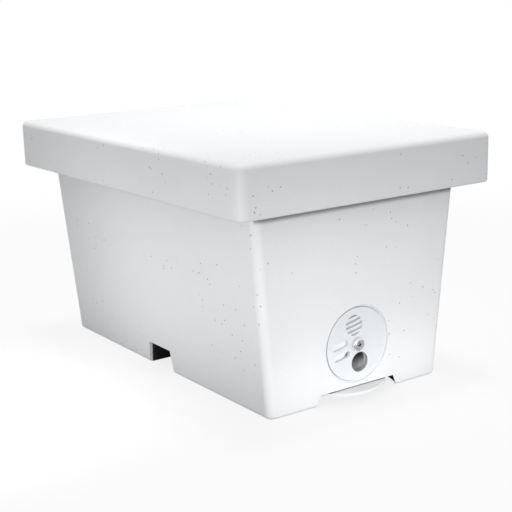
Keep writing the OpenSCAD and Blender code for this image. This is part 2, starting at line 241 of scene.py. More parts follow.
def block(name, low, high):
    """A cube between two corners, with its size in its mesh."""
    low, high = Vector(low), Vector(high)
    if bpy.context.object and bpy.context.object.mode != "OBJECT":
        leave_edit()
    bpy.ops.object.select_all(action="DESELECT")
    bpy.ops.mesh.primitive_cube_add(size=1, location=(low + high) / 2, scale=high - low)
    bpy.ops.object.transform_apply(location=True, rotation=True, scale=True)
    bpy.context.object.name = name
    return bpy.context.object


def drum(name, radius, low, high, top_radius=None, place=(0, 0), sides=96):
    """An upright cylinder or cone between two heights."""
    bpy.ops.object.select_all(action="DESELECT")
    bpy.ops.mesh.primitive_cone_add(
        vertices=sides, radius1=radius, radius2=radius if top_radius is None else top_radius,
        depth=high - low, location=(*place, (low + high) / 2))
    bpy.ops.object.transform_apply(location=True, rotation=True, scale=True)
    bpy.context.object.name = name
    return bpy.context.object


def combine(piece, operation, *others):
    """Apply a boolean with each other solid, and delete it."""
    for other in others:
        change = piece.modifiers.new("combine", "BOOLEAN")
        change.operation = operation
        change.solver = "EXACT"
        change.object = other
        show_only(piece)
        bpy.ops.object.modifier_apply(modifier=change.name)
        bpy.data.objects.remove(other)
    return piece


def carve(piece, *tools):
    return combine(piece, "DIFFERENCE", *tools)


def weld(piece, *parts):
    return combine(piece, "UNION", *parts)


def put(piece, matrix):
    """Move a piece to its place and keep the place in its mesh."""
    show_only(piece)
    piece.matrix_world = matrix
    bpy.ops.object.transform_apply(location=True, rotation=True, scale=True)
    return piece


COLLAPSED = 0.0002 * MM


def soften(piece, width, segments=2, sharper_than=35):
    """Round sharp edges a little, join points that fell together, and even out the shading.

    Where the carving left short edges, the bevel narrows itself so that nothing overlaps.
    """
    show_only(piece)
    edge = piece.modifiers.new("soft_edges", "BEVEL")
    edge.width = width
    edge.segments = segments
    edge.limit_method = "ANGLE"
    edge.angle_limit = math.radians(sharper_than)
    bpy.ops.object.modifier_apply(modifier=edge.name)
    pick(piece, "VERT", lambda v: True)
    bpy.ops.mesh.remove_doubles(threshold=COLLAPSED)
    leave_edit()
    show_only(piece)
    bpy.ops.object.shade_smooth_by_angle(angle=math.radians(sharper_than))
    flat = piece.modifiers.new("flat_faces", "WEIGHTED_NORMAL")
    flat.keep_sharp = True
    bpy.ops.object.modifier_apply(modifier=flat.name)


def stand_in_for(piece, body, slot, *nodes):
    """The piece rides on a body and is shown instead of its CAD nodes."""
    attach(piece, body)
    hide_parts(*nodes)
    print(piece.name, "has", len(piece.data.polygons), "faces")
    return piece


def upright(edge):
    """True for an edge that runs mostly up and down."""
    run = edge.verts[1].co - edge.verts[0].co
    return abs(run.z) > 0.8 * run.length


def level_at(height):
    """A test for edges that lie at one height."""
    def lies_there(edge):
        return all(abs(v.co.z - height) < 0.05 * MM for v in edge.verts)
    return lies_there

# %% [markdown]
# ## Lid
#
# The lid is one foam moulding: a thick plate with a skirt that drops over the body's rim. A cube
# of the lid's size gets its upright corners, its top edge and its lower edge rounded, one after the
# other, and then a rounded block of the rim's size plus play is carved out from below. An inset
# would also make the skirt, but the skirt is thicker along the sides than across the ends.

# %% Model the lid
LID_CORNER = 6.5 * MM
LID_TOP_EDGE = 3.5 * MM
LID_LOW_EDGE = 1.2 * MM
LID_PLAY = 1.5 * MM
LID_SEAT_GAP = 0.3 * MM
RIM_CORNER = 5 * MM

lid_low, lid_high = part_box("lid")
rim_low, rim_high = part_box("body_shell")

foam_lid = block("foam_lid", lid_low, lid_high)
bevel_picked(foam_lid, upright, LID_CORNER, 8)
bevel_picked(foam_lid, level_at(lid_high.z), LID_TOP_EDGE, 6)
bevel_picked(foam_lid, level_at(lid_low.z), LID_LOW_EDGE, 3)

play = Vector((LID_PLAY, LID_PLAY, 0))
socket_low = Vector((rim_low.x, rim_low.y, lid_low.z - 5 * MM)) - play
socket_high = Vector((rim_high.x, rim_high.y, rim_high.z + LID_SEAT_GAP)) + play
socket = block("socket", socket_low, socket_high)
bevel_picked(socket, upright, RIM_CORNER + LID_PLAY, 8)
carve(foam_lid, socket)
soften(foam_lid, 0.6 * MM)
stand_in_for(foam_lid, "lid", "foam", "lid")

# %% [markdown]
# ## Body
#
# The body is the second moulding. Its long walls lean out by five degrees and its end walls by one
# and a half, so a cube of the rim's size is drawn in at its foot. The hollow is a second drawn-in
# block with a bend above the floor, where the foam is thicker to leave room for the finger pockets.

# %% Draw the leaning walls
FOOT_HALF_X = 62.25 * MM
FOOT_HALF_Y = 114 * MM
FOOT_EDGE = 2.5 * MM
WALL = 15 * MM
FRONT_LEAN = math.radians(1.5)
SIDE_LEAN = math.radians(5)


def draw_in(piece, height, half_x, half_y):
    """Set the half sizes of a block's outline at one height."""
    pick(piece, "VERT", lambda v: abs(v.co.z - height) < 0.05 * MM)
    here = [v.co for v in bmesh.from_edit_mesh(piece.data).verts if v.select]
    now_x = max(abs(p.x) for p in here)
    now_y = max(abs(p.y) for p in here)
    bpy.ops.transform.resize(value=(half_x / now_x, half_y / now_y, 1),
                             center_override=(0, 0, height))
    leave_edit()


def wall_x(height):
    return FOOT_HALF_X + height * math.tan(SIDE_LEAN)


def wall_y(height):
    return FOOT_HALF_Y + height * math.tan(FRONT_LEAN)


foam_body = block("foam_body", rim_low, rim_high)
draw_in(foam_body, rim_low.z, FOOT_HALF_X, FOOT_HALF_Y)
bevel_picked(foam_body, upright, RIM_CORNER, 8)
bevel_picked(foam_body, level_at(rim_low.z), FOOT_EDGE, 4)
print("body outside", len(foam_body.data.polygons), "faces")

# %% Hollow out the chamber
INNER_CORNER = 6 * MM
FLOOR_TOP = 13.5 * MM
BEND_TOP = 28 * MM
FLOOR_HALF_X = 28.25 * MM
ABOVE_RIM = rim_high.z + 1 * MM

hollow = block("hollow", (-wall_x(ABOVE_RIM) + WALL, -wall_y(ABOVE_RIM) + WALL, FLOOR_TOP),
               (wall_x(ABOVE_RIM) - WALL, wall_y(ABOVE_RIM) - WALL, ABOVE_RIM))
pick(hollow, "FACE", lambda f: True)
bpy.ops.mesh.bisect(plane_co=(0, 0, BEND_TOP), plane_no=(0, 0, 1))
leave_edit()
draw_in(hollow, BEND_TOP, wall_x(BEND_TOP) - WALL, wall_y(BEND_TOP) - WALL)
draw_in(hollow, FLOOR_TOP, FLOOR_HALF_X, wall_y(FLOOR_TOP) - WALL)


def corner_edge(edge):
    """True for the edges that run up the hollow's four corners."""
    run = edge.verts[1].co - edge.verts[0].co
    return abs(run.z) > 0.3 * run.length


bevel_picked(hollow, corner_edge, INNER_CORNER, 6)
carve(foam_body, hollow)
print("chamber", round(2 * (wall_y(FLOOR_TOP) - WALL) / MM), "mm long at the floor")

# %% [markdown]
# ### Steps in the rim
#
# Each bar's ends lie in their own pockets in the long walls, which sets the comb spacing. A wider,
# shallow step above them takes the cover film, and a step at the back takes the feed tub's rim.
# The CAD boxes of these pieces, grown by their play, give the carving blocks.

# %% Carve the steps
BAR_SIDE_PLAY = 0.5 * MM
BAR_END_PLAY = 0.6 * MM
FILM_PLAY = 0.8 * MM
BARS = ["top_bar_1", "top_bar_2", "top_bar_3", "top_bar_4"]


def grown(node, by_x, by_y, top):
    """A CAD node's box with play round it, carried up past the rim."""
    low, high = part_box(node)
    return (low.x - by_x, low.y - by_y, low.z), (high.x + by_x, high.y + by_y, top)


for bar in BARS:
    carve(foam_body, block("bar_step", *grown(bar, BAR_END_PLAY, BAR_SIDE_PLAY, ABOVE_RIM)))

film_step = block("film_step", *grown("cover_sheet", FILM_PLAY, FILM_PLAY, ABOVE_RIM))
bevel_picked(film_step, upright, 5.8 * MM, 5)
carve(foam_body, film_step)

tub_low, tub_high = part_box("feeder_trough")
TUB_RIM = 2.4 * MM
TUB_RIM_LAP = 2 * MM
RAIL_REACH = 3.7 * MM
tub_front = tub_low.y + RAIL_REACH
tub_step_low = (tub_low.x - BAR_END_PLAY, tub_front - TUB_RIM_LAP - BAR_SIDE_PLAY, tub_high.z - TUB_RIM)
tub_step_high = (tub_high.x + BAR_END_PLAY, tub_high.y + BAR_SIDE_PLAY, ABOVE_RIM)
carve(foam_body, block("tub_step", tub_step_low, tub_step_high))
print("steps carved for", len(BARS), "bars, the film and the tub")

# %% [markdown]
# ### Recesses and holes
#
# Under the front lies a round recess for the floor disc; it is wider than the front wall is deep,
# so it breaks out as a shallow arch. The entrance disc has a shallow round recess of its own in
# the leaning front wall, with the bees' tunnel and the pivot's bore behind it. A ledge round the
# recess stops just below the disc's face, so the ring round the disc is shallow and stays light. The
# tunnel's mouth is flared, so a disc that isn't turned quite straight still leaves the way open. The
# wall's tilt goes into one matrix, used again later for the disc and its screw.

# %% Carve the recesses and holes
DISC_R = 21.75 * MM
DISC_T = 2 * MM
DISC_RING = 1.15 * MM
DISC_SINK = 1.2 * MM
RUN_GAP = 0.3 * MM
RECESS_RIM = 1.0 * MM
LEDGE_DEPTH = DISC_SINK + 0.5 * MM
SEAT_GAP = 0.4 * MM
PIVOT_UP = 31.8 * MM
STATION = 11.7 * MM
TUNNEL_R = 6.5 * MM
MOUTH_DEPTH = 4 * MM
MOUTH_FLARE = 2.6 * MM
MOUTH_LAP = 0.4 * MM
POST_BORE = 3.15 * MM
FLOOR_PIVOT_Y = -93 * MM
FLOOR_RECESS_TOP = 7 * MM
FLOOR_RECESS_R = 34.4 * MM
FLOOR_RECESS_FLARE = 2.2 * MM
FLOOR_STATION = 17 * MM
FLOOR_HOLE_R = 10 * MM
BELOW = -2 * MM
IN_FRONT = 5 * MM
NEAR_ENOUGH = 0.05 * MM


def on_front_wall(up_the_wall):
    """Matrix from a flat drawing, seen from the front, to the leaning front wall."""
    return (Matrix.Translation((0, -FOOT_HALF_Y, 0)) @ Matrix.Rotation(FRONT_LEAN, 4, "X")
            @ Matrix.Translation((0, 0, up_the_wall)) @ Matrix.Rotation(math.pi / 2, 4, "X"))


flare = FLOOR_RECESS_FLARE * (1 - BELOW / FLOOR_RECESS_TOP)
carve(foam_body,
      drum("floor_recess", FLOOR_RECESS_R + flare, BELOW, FLOOR_RECESS_TOP,
           top_radius=FLOOR_RECESS_R, place=(0, FLOOR_PIVOT_Y)),
      drum("floor_hole", FLOOR_HOLE_R, BELOW, 20 * MM, place=(0, FLOOR_PIVOT_Y + FLOOR_STATION), sides=64),
      drum("floor_bore", POST_BORE, BELOW, 20 * MM, place=(0, FLOOR_PIVOT_Y), sides=32))

recess_depth = RUN_GAP + DISC_T + DISC_SINK
behind_wall = -WALL - 2 * MM
at_pivot = on_front_wall(PIVOT_UP)
at_tunnel = on_front_wall(PIVOT_UP - STATION)
carve(foam_body,
      put(drum("disc_recess", DISC_R + DISC_RING, -LEDGE_DEPTH, IN_FRONT, sides=128), at_pivot),
      put(drum("disc_seat", DISC_R + SEAT_GAP, -recess_depth, 1 * MM, sides=128), at_pivot),
      put(drum("tunnel", TUNNEL_R, behind_wall, IN_FRONT, sides=64), at_tunnel),
      put(drum("tunnel_mouth", TUNNEL_R - MOUTH_LAP, -recess_depth - MOUTH_DEPTH,
               MOUTH_LAP - recess_depth, top_radius=TUNNEL_R + MOUTH_FLARE, sides=60), at_tunnel),
      put(drum("pivot_bore", POST_BORE, behind_wall, IN_FRONT, sides=32), at_pivot))

flat_from_wall = at_pivot.inverted()


def on_recess_rim(edge):
    """True for the edges where the disc recess meets the wall's face."""
    spots = [flat_from_wall @ v.co for v in edge.verts]
    return all(abs(p.z) < NEAR_ENOUGH
               and abs(math.hypot(p.x, p.y) - DISC_R - DISC_RING) < NEAR_ENOUGH
               for p in spots)


bevel_picked(foam_body, on_recess_rim, RECESS_RIM, 4)
print("front and floor carved")

# %% Carve the finger pockets
POCKET_Y = 1 * MM
POCKET_H = 14.5 * MM
POCKET_W = 30 * MM
POCKET_TOP_W = 24.5 * MM
POCKET_DEPTH = 24 * MM

for side in (-1, 1):
    inner, outer = side * (FOOT_HALF_X - POCKET_DEPTH), side * (FOOT_HALF_X + 10 * MM)
    pocket = block("pocket", (min(inner, outer), -POCKET_TOP_W / 2, 0),
                   (max(inner, outer), POCKET_TOP_W / 2, POCKET_H))
    pick(pocket, "VERT", lambda v: v.co.z < POCKET_H / 2)
    bpy.ops.transform.resize(value=(1, POCKET_W / POCKET_TOP_W, 1), center_override=(0, 0, 0))
    leave_edit()
    pick(pocket, "FACE", lambda f: f.normal.z < -0.9)
    bpy.ops.mesh.extrude_region_move(TRANSFORM_OT_translate={"value": (0, 0, BELOW)})
    leave_edit()
    carve(foam_body, put(pocket, Matrix.Translation((0, POCKET_Y, 0))))

soften(foam_body, 0.6 * MM)
stand_in_for(foam_body, "box", "foam", "body_shell")

# %% [markdown]
# ## Entrance disc
#
# A flat plastic disc with four stations a quarter turn apart: an open hole, a queen excluder with
# two slots, a round vent with five narrow slots, and a blank. It is drawn flat, seen from the
# front, and then turned and laid into the wall with the wall's matrix. The vent's slots end on a
# circle, so a round drum and the slot blocks are intersected before they carve the disc.

# %% Model the entrance disc
DISC_TURN = math.radians(11.5)
POST_R = 3 * MM
BORE_PLAY = 0.08 * MM
ENTRANCE_R = 6 * MM
EXCLUDER_SLOT = 4.2 * MM
EXCLUDER_PITCH = 6.5 * MM
DISC_SLOT_L = 11.5 * MM
VENT_R = 6.1 * MM
VENT_SLOT = 1.7 * MM
VENT_PITCH = 2.9 * MM


def slot_blocks(count, length, width, pitch, centre, low, high):
    """Parallel blocks with round ends, along X round a centre."""
    blocks = []
    for number in range(count):
        y = centre[1] + (number - (count - 1) / 2) * pitch
        slot = block("slot", (centre[0] - length / 2, y - width / 2, low),
                     (centre[0] + length / 2, y + width / 2, high))
        bevel_picked(slot, upright, 0.499 * width, 8)
        blocks.append(slot)
    return blocks


def vent_blocks(count, radius, centre, low, high):
    """Slots that end on a circle."""
    blocks = slot_blocks(count, 2 * (radius + VENT_SLOT), VENT_SLOT, VENT_PITCH, centre, low, high)
    for one in blocks:
        combine(one, "INTERSECT", drum("vent_edge", radius, low, high, place=centre, sides=64))
    return blocks


through_low, through_high = -1 * MM, DISC_T + 1 * MM
entrance_plate = drum("entrance_plate", DISC_R, 0, DISC_T, sides=160)
carve(entrance_plate,
      drum("bore", POST_R + BORE_PLAY, through_low, through_high, sides=48),
      drum("open_hole", ENTRANCE_R, through_low, through_high, place=(0, -STATION), sides=64),
      *slot_blocks(2, DISC_SLOT_L, EXCLUDER_SLOT, EXCLUDER_PITCH, (-STATION, 0), through_low, through_high),
      *vent_blocks(5, VENT_R, (0, STATION), through_low, through_high))
soften(entrance_plate, 0.3 * MM)
disc_seat = Matrix.Translation((0, 0, -DISC_SINK - DISC_T)) @ Matrix.Rotation(DISC_TURN, 4, "Z")
put(entrance_plate, at_pivot @ disc_seat)
stand_in_for(entrance_plate, "entrance_disc", "disc_plastic", "entrance_disc")

# %% [markdown]
# ## Entrance screw
#
# The screw is the only bright metal on the outside. Its pan head is a drum with a generously
# bevelled top edge, and the cross is carved by two blocks that narrow towards the bottom, as the
# real recess does.

# %% Model the screw
HEAD_R = 3.9 * MM
HEAD_H = 2.4 * MM
SHANK_R = 1.8 * MM
SHANK_L = 8 * MM
CROSS_L = 4.2 * MM
CROSS_W = 1.0 * MM
CROSS_DEPTH = 1.4 * MM


def cross_arm():
    """One arm of the cross: a block that narrows towards its bottom."""
    arm = block("arm", (-CROSS_L / 2, -CROSS_W / 2, HEAD_H - CROSS_DEPTH),
                (CROSS_L / 2, CROSS_W / 2, HEAD_H + 1 * MM))
    pick(arm, "VERT", lambda v: v.co.z < HEAD_H)
    bpy.ops.transform.resize(value=(0.55, 0.7, 1), center_override=(0, 0, 0))
    leave_edit()
    return arm


def pan_screw(name):
    """A pan-head screw with its head's seat at height 0."""
    screw = drum(name, HEAD_R, 0, HEAD_H, sides=64)
    bevel_picked(screw, level_at(HEAD_H), 1.3 * MM, 6)
    weld(screw, drum("shank", SHANK_R, -SHANK_L, 1 * MM, sides=48))
    carve(screw, cross_arm(), put(cross_arm(), Matrix.Rotation(math.pi / 2, 4, "Z")))
    soften(screw, 0.12 * MM)
    return screw


bright_screw = pan_screw("bright_screw")
screw_seat = Matrix.Translation((0, 0, RUN_GAP - DISC_SINK)) @ Matrix.Rotation(DISC_TURN, 4, "Z")
put(bright_screw, at_pivot @ screw_seat)
stand_in_for(bright_screw, "box", "steel", "entrance_screw")

# %% [markdown]
# ## Floor disc
#
# The larger disc under the floor turns about an upright pivot. It has a vent and an open hole, and
# its blank front edge stands out below the entrance as a small landing lip.

# %% Model the floor disc
FLOOR_DISC_R = 30 * MM
plate_low, plate_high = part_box("floor_disc")
below, above = plate_low.z - 1 * MM, plate_high.z + 1 * MM

floor_plate = drum("floor_plate", FLOOR_DISC_R, plate_low.z, plate_high.z, sides=160)
carve(floor_plate,
      drum("bore", POST_R + BORE_PLAY, below, above, sides=48),
      drum("open_hole", FLOOR_HOLE_R, below, above, place=(FLOOR_STATION, 0), sides=64),
      *vent_blocks(7, FLOOR_HOLE_R, (0, FLOOR_STATION), below, above))
soften(floor_plate, 0.3 * MM)
put(floor_plate, Matrix.Translation((0, FLOOR_PIVOT_Y, 0)))
stand_in_for(floor_plate, "floor_disc", "disc_plastic", "floor_disc")

# %% [markdown]
# ## Top bars
#
# Four planed wooden bars carry the combs. One bar is a block with a saw groove along its underside
# and lightly broken edges; the other three are copies with their own meshes, moved along the box.

# %% Model the bars
GROOVE_W = 3 * MM
GROOVE_D = 3 * MM
GROOVE_END = 16 * MM

bar_low, bar_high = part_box(BARS[0])
bar_mid_y = (bar_low.y + bar_high.y) / 2
first_bar = block("wooden_bar_1", bar_low, bar_high)
carve(first_bar, block("groove", (bar_low.x + GROOVE_END, bar_mid_y - GROOVE_W / 2, bar_low.z - 1 * MM),
                       (bar_high.x - GROOVE_END, bar_mid_y + GROOVE_W / 2, bar_low.z + GROOVE_D)))
soften(first_bar, 0.4 * MM)

wooden_bars = [first_bar]
for number, node in enumerate(BARS[1:], start=2):
    show_only(first_bar)
    bpy.ops.object.duplicate(linked=False)
    copy = bpy.context.object
    copy.name = f"wooden_bar_{number}"
    wooden_bars.append(put(copy, Matrix.Translation((0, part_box(node)[0].y - bar_low.y, 0))))
for bar, node in zip(wooden_bars, BARS):
    stand_in_for(bar, "box", "lime_wood", node)

# %% [markdown]
# ## Feed tub and its excluder
#
# The tub hangs by its rim behind the bars. Its side walls lean like the foam's, so it is a block
# drawn in at the bottom, with a smaller one carved out of it. A window near the top lets the bees
# in through a slotted grid, which stands between two rails so that it can be slid out for cleaning.

# %% Model the tub
TUB_GAP = 1 * MM
TUB_WALL = 1.6 * MM
TUB_CORNER = 5 * MM
RAIL = 1.6 * MM
RAIL_LIP = 2.5 * MM
GRID_PLAY = 0.3 * MM
WINDOW_HALF_W = 29 * MM
WINDOW_H = 17 * MM
WINDOW_DROP = 7 * MM
grid_low, grid_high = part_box("feeder_excluder")
tub_back = wall_y(tub_low.z) - WALL - TUB_GAP
tub_mid = (tub_front + tub_back) / 2


def tub_block(low_z, high_z, inset):
    """A drawn-in block that follows the leaning walls."""
    half_y = (tub_back - tub_front) / 2 - inset
    half_x_low = wall_x(low_z) - WALL - TUB_GAP - inset
    half_x_high = wall_x(high_z) - WALL - TUB_GAP - inset
    shape = block("feed_tub", (-half_x_high, -half_y, low_z), (half_x_high, half_y, high_z))
    draw_in(shape, low_z, half_x_low, half_y)
    bevel_picked(shape, upright, TUB_CORNER, 6)
    return put(shape, Matrix.Translation((0, tub_mid, 0)))


def rail_blocks():
    """Two L-shaped rails and the sill under the grid."""
    front, into_wall = tub_low.y, tub_front + TUB_WALL / 2
    foot, top = grid_low.z - RAIL, grid_high.z
    blocks = [block("sill", (grid_low.x - GRID_PLAY, front, foot),
                    (grid_high.x + GRID_PLAY, into_wall, grid_low.z))]
    for side in (-1, 1):
        near, far = side * (grid_high.x + GRID_PLAY), side * (grid_high.x + GRID_PLAY + RAIL)
        lip = near - side * RAIL_LIP
        blocks.append(block("rail", (min(near, far), front, foot), (max(near, far), into_wall, top)))
        blocks.append(block("lip", (min(lip, far), front, foot), (max(lip, far), front + RAIL, top)))
    return blocks


feed_tub = tub_block(tub_low.z, tub_high.z, 0)
feed_tub.name = "feed_tub"
bevel_picked(feed_tub, level_at(tub_low.z), 2 * MM, 4)
weld(feed_tub,
     block("rim", (tub_low.x, tub_front - TUB_RIM_LAP, tub_high.z - TUB_RIM), tub_high),
     *rail_blocks())
window_top = tub_high.z - TUB_RIM - WINDOW_DROP
carve(feed_tub,
      tub_block(tub_low.z + TUB_WALL, tub_high.z + 1 * MM, TUB_WALL),
      block("window", (-WINDOW_HALF_W, tub_front - 1 * MM, window_top - WINDOW_H),
            (WINDOW_HALF_W, tub_front + TUB_WALL + 1 * MM, window_top)))
soften(feed_tub, 0.3 * MM)
stand_in_for(feed_tub, "box", "feeder_plastic", "feeder_trough")

# %% Model the excluder grid
GRID_SLOTS = 8

tub_grid = block("tub_grid", grid_low, grid_high)
grid_mid = (grid_low + grid_high) / 2
stand_up = (Matrix.Translation(grid_mid) @ Matrix.Rotation(math.pi / 2, 4, "X")
            @ Matrix.Rotation(math.pi / 2, 4, "Z"))
for slot in slot_blocks(GRID_SLOTS, WINDOW_H - 2 * MM, EXCLUDER_SLOT, EXCLUDER_PITCH,
                        (0, 0), -3 * MM, 3 * MM):
    carve(tub_grid, put(slot, stand_up))
soften(tub_grid, 0.25 * MM)
stand_in_for(tub_grid, "box", "disc_plastic", "feeder_excluder")

# %% [markdown]
# ## Cover film
#
# A clear film lies on the bars, so the bees stay down when the lid comes off. It is a thin block
# with rounded corners, and the edge is left crisp because the film is punched.

# %% Model the film
FILM_CORNER = 5 * MM

cover_film = block("cover_film", *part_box("cover_sheet"))
bevel_picked(cover_film, upright, FILM_CORNER, 8)
soften(cover_film, 0.1 * MM, segments=1)
stand_in_for(cover_film, "box", "clear_film", "cover_sheet")

# %% [markdown]
# ## Finishes
#
# Every finish is a Principled shader with patterns made from Object coordinates, so nothing depends
# on the camera. A few helpers keep the node trees short: they start a material, add a node and set
# its values, reckon with numbers, map a range, mix two colours, find nooks, add a bump, and put the
# finish on its pieces.

# %% Helpers for finishes
def new_finish(name):
    """A material with its node tree, its Principled shader and Object coordinates."""
    look = bpy.data.materials.new(name)
    look.use_nodes = True
    tree = look.node_tree
    place = tree.nodes.new("ShaderNodeTexCoord").outputs["Object"]
    return look, tree, tree.nodes["Principled BSDF"], place


def add_node(tree, kind, links=None, settings=None, **values):
    """Add a node, set its settings and input values, and link inputs to other outputs."""
    made = tree.nodes.new(kind)
    for key, value in (settings or {}).items():
        setattr(made, key, value)
    for key, value in values.items():
        made.inputs[key].default_value = value
    for key, source in (links or {}).items():
        tree.links.new(source, made.inputs[key])
    return made


def set_shader(shader, **values):
    """Set constant values on the shader's own sockets."""
    for key, value in values.items():
        shader.inputs[key.replace("_", " ")].default_value = value


def reckon(tree, operation, *terms):
    """A Math node; each term is a number or another node's output."""
    node = add_node(tree, "ShaderNodeMath", settings={"operation": operation})
    for socket, term in zip(node.inputs, terms):
        if isinstance(term, (int, float)):
            socket.default_value = term
        else:
            tree.links.new(term, socket)
    return node.outputs[0]


def grade(tree, source, low, high, to_low=0.0, to_high=1.0):
    """Map a range of a value onto another, with a smooth step."""
    node = add_node(tree, "ShaderNodeMapRange", {"Value": source}, {"interpolation_type": "SMOOTHSTEP"})
    for key, value in (("From Min", low), ("From Max", high), ("To Min", to_low), ("To Max", to_high)):
        node.inputs[key].default_value = value
    return node.outputs["Result"]


def blend_colours(tree, share, first, second):
    """Mix two colours; each may be a fixed colour or another node's output."""
    node = add_node(tree, "ShaderNodeMix", {"Factor": share}, {"data_type": "RGBA"})
    for socket, colour in ((node.inputs[6], first), (node.inputs[7], second)):
        if isinstance(colour, tuple):
            socket.default_value = (*colour, 1)
        else:
            tree.links.new(colour, socket)
    return node.outputs[2]


def closed_in(tree, distance, low, high):
    """How deep a point lies in a nook: 1 where little of the space round it is open."""
    open_share = add_node(tree, "ShaderNodeAmbientOcclusion", settings={"samples": 12}, Distance=distance)
    return grade(tree, open_share.outputs["AO"], low, high, 1.0, 0.0)


def bump(tree, shader, height, strength, distance):
    """Roughen the surface a little by a pattern's height."""
    node = add_node(tree, "ShaderNodeBump", {"Height": height}, Strength=strength, Distance=distance)
    tree.links.new(node.outputs["Normal"], shader.inputs["Normal"])


def dress(look, *pieces):
    """Give the pieces one finish."""
    for piece in pieces:
        piece.data.materials.clear()
        piece.data.materials.append(look)

# %% [markdown]
# ### Bead foam
#
# Moulded bead foam has a smooth, closed skin. What shows on it are faint bead borders and small pits where
# a bead is missing; each pit is a flat grey dot, painted shade in place of its small hollow. The deep
# pockets and bores get a painted dark grey shade. One Voronoi pattern gives the borders, a coarser one the
# pits, and a slow noise gathers the pits in loose groups; most of them lie in a rough patch on the left
# wall. An Ambient Occlusion node finds the deep places for the painted shade: it measures how much of the
# space within three centimetres of a point is closed in. It counts only below the walls' outer skin, so the
# shallow recess round the disc and the foot of the walls stay free of it, and less on the tunnel's floor,
# which is lighter in the photograph. A second one, with a shorter reach, paints a shadow into the crease
# where the lid's front edge hangs over the wall, and lets go of it when the lid is lifted.

# %% Foam finish
ROUGH_PATCH = (-70 * MM, -82 * MM, 62 * MM)
SIDE_SKIN = 1.6 * MM
FRONT_SKIN = 3.8 * MM
DEEP_REACH = 30 * MM
CREASE_REACH = 12 * MM
CREASE_FRONT = (-115.5 * MM, -114.5 * MM)
CREASE_RISE = (110.3 * MM, 113.3 * MM)
TUNNEL_SIDE = (9 * MM, 11 * MM)
TUNNEL_RISE = (15 * MM, 23 * MM)
DEEP_SHADE_GREY = (0.04, 0.04, 0.04)
CREASE_SHADOW_GREY = (0.15, 0.15, 0.15)
PIT_SHADE_GREY = (0.30, 0.30, 0.29)

foam, tree, shader, place = new_finish("bead_foam")
beads = add_node(tree, "ShaderNodeTexVoronoi", {"Vector": place},
                 {"feature": "DISTANCE_TO_EDGE"}, Scale=420.0)
bead_net = grade(tree, beads.outputs["Distance"], 0.0, 0.16)
tone = add_node(tree, "ShaderNodeTexNoise", {"Vector": place}, Scale=60.0, Detail=3.0)
mottle = grade(tree, tone.outputs["Fac"], 0.3, 0.7)
# Pits: each is a flat grey dot, painted shade in place of the small hollow of a missing bead.
pits = add_node(tree, "ShaderNodeTexVoronoi", {"Vector": place}, {"feature": "F1"}, Scale=230.0)
pit_dot = grade(tree, pits.outputs["Distance"], 0.065, 0.115, 1.0, 0.0)
pit_pick = add_node(tree, "ShaderNodeSeparateColor", {"Color": pits.outputs["Color"]})
groups = add_node(tree, "ShaderNodeTexNoise", {"Vector": place}, Scale=16.0, Detail=1.0)
from_patch = add_node(tree, "ShaderNodeVectorMath", {0: place}, {"operation": "DISTANCE"})
from_patch.inputs[1].default_value = ROUGH_PATCH
pit_share = reckon(tree, "MAXIMUM", grade(tree, groups.outputs["Fac"], 0.46, 0.62, 0.0, 0.7),
                   grade(tree, from_patch.outputs["Value"], 20 * MM, 45 * MM, 0.9, 0.0))
pit_mask = reckon(tree, "MULTIPLY", pit_dot, reckon(tree, "LESS_THAN", pit_pick.outputs["Red"], pit_share))
spot = add_node(tree, "ShaderNodeSeparateXYZ", {"Vector": place}).outputs


def below_wall(axis, half, lean):
    """How far a point lies behind the outer face of a pair of leaning walls."""
    wall = reckon(tree, "MULTIPLY_ADD", spot["Z"], math.tan(lean), half)
    return reckon(tree, "SUBTRACT", wall, reckon(tree, "ABSOLUTE", spot[axis]))


skin = grade(tree, spot["Z"], 8 * MM, 10 * MM, SIDE_SKIN, FRONT_SKIN)
behind_side = reckon(tree, "SUBTRACT", below_wall("X", FOOT_HALF_X, SIDE_LEAN), SIDE_SKIN)
behind_front = reckon(tree, "SUBTRACT", below_wall("Y", FOOT_HALF_Y, FRONT_LEAN), skin)
inside = grade(tree, reckon(tree, "MINIMUM", behind_side, behind_front), 0.0, 1 * MM)
# Painted shade: the deep pockets and bores turn dark grey where Ambient Occlusion finds them closed in.
deep = reckon(tree, "MULTIPLY", inside, closed_in(tree, DEEP_REACH, 0.4, 0.9))
beside_tunnel = grade(tree, reckon(tree, "ABSOLUTE", spot["X"]), *TUNNEL_SIDE)
off_tunnel_floor = reckon(tree, "MAXIMUM", beside_tunnel,
                          grade(tree, spot["Z"], *TUNNEL_RISE, 0.35, 1.0))
deep = reckon(tree, "MULTIPLY", deep, off_tunnel_floor)
plain = blend_colours(tree, mottle, (0.893, 0.905, 0.918), (0.908, 0.92, 0.933))
netted = blend_colours(tree, bead_net, (0.886, 0.898, 0.911), plain)
pitted = blend_colours(tree, pit_mask, netted, PIT_SHADE_GREY)
dulled = blend_colours(tree, deep, pitted, DEEP_SHADE_GREY)
# Painted shadow: a grey line on the front wall just under the lid's front edge, where Ambient Occlusion
# finds the crease closed in.
front_only = grade(tree, spot["Y"], *CREASE_FRONT, 1.0, 0.0)
under_lid = reckon(tree, "MULTIPLY", front_only, grade(tree, spot["Z"], *CREASE_RISE))
crease = reckon(tree, "MULTIPLY", under_lid, closed_in(tree, CREASE_REACH, 0.68, 0.88))
shaded = blend_colours(tree, crease, dulled, CREASE_SHADOW_GREY)
tree.links.new(shaded, shader.inputs["Base Color"])
# The painted shade also takes the specular level down in the deep places.
tree.links.new(grade(tree, deep, 0.0, 1.0, 0.5, 0.05), shader.inputs["Specular IOR Level"])
set_shader(shader, Roughness=0.42)
bump(tree, shader, bead_net, 0.04, 0.1 * MM)
dress(foam, foam_body, foam_lid)
print("foam on body and lid")
